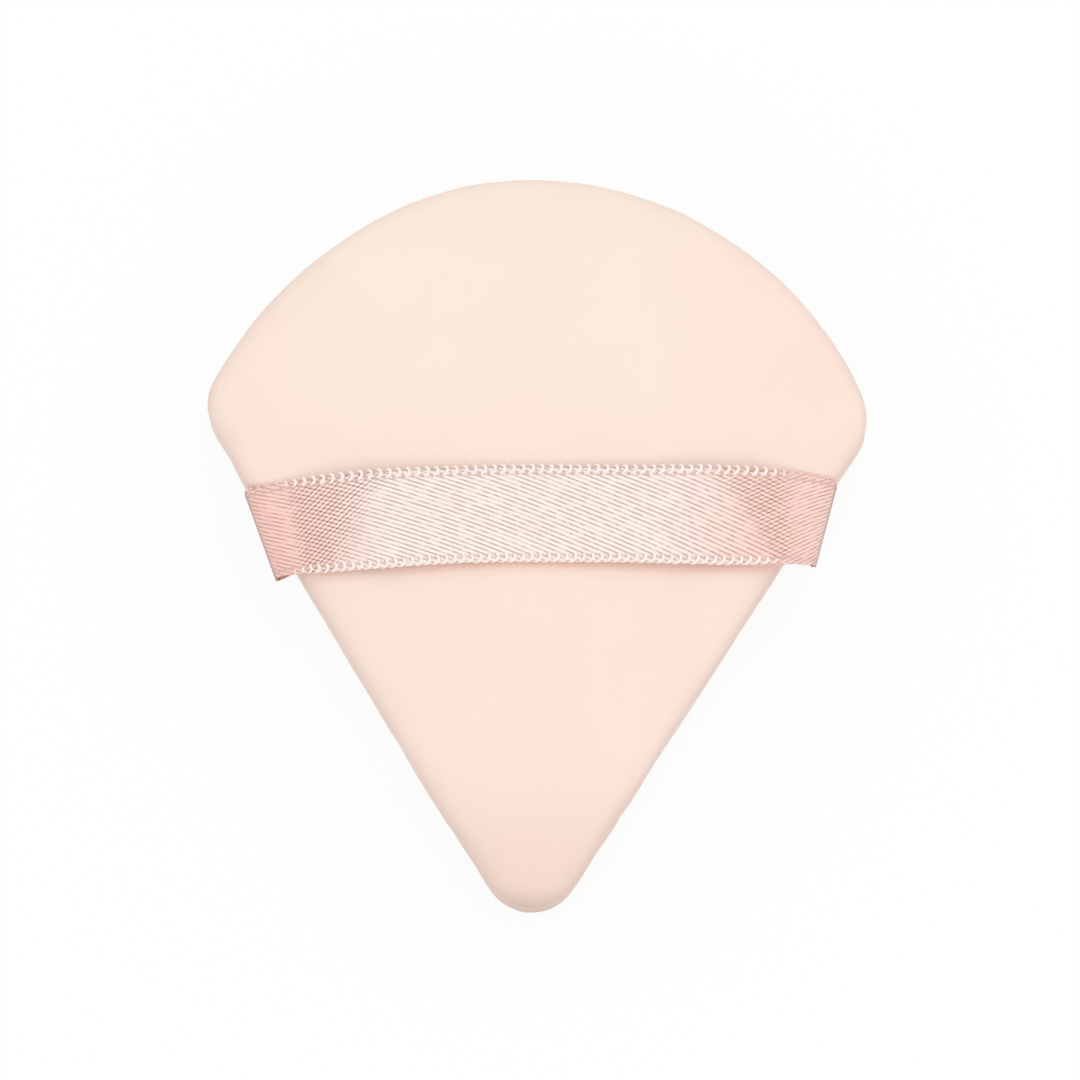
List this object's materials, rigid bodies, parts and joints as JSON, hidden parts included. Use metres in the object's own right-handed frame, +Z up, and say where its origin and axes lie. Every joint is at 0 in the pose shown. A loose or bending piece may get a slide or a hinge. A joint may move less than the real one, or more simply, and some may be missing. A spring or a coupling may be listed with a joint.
{
  "type": "powder puff",
  "caption": "Soft fan-shaped velour powder puff with a sponge core, a turned seam and a woven ribbon finger strap across one face, for pressing and blending face powder.",
  "frame": {"origin": "middle of the puff's outline, on the surface that its flat back rests on", "axes": "+X across the puff along the strap, +Y from the pointed tip to the broad curved end, +Z up out of the strap face"},
  "size_m": [0.072, 0.0804, 0.0139],
  "materials": {
    "velour": "short dense cut pile, matt, pale peach",
    "sponge": "fine open-cell foam, cream",
    "ribbon": "woven ribbon with fine twill lines, soft satin sheen and looped edges, pale pink",
    "thread": "spun sewing thread, pale peach"
  },
  "bodies": {
    "puff": {"front_cover": "velour", "back_cover": "velour", "sponge_core": "sponge", "ribbon_end_right": "ribbon", "ribbon_end_left": "ribbon", "seam_needle_thread": "thread", "seam_bobbin_thread": "thread", "closing_thread": "thread"},
    "strap": {"ribbon_strap": "ribbon"}
  },
  "joints": [
    {"name": "strap_lift", "type": "slide", "parent": "puff", "child": "strap", "axis": [0, 0, 1], "range_m": [0, 0.006]}
  ]
}
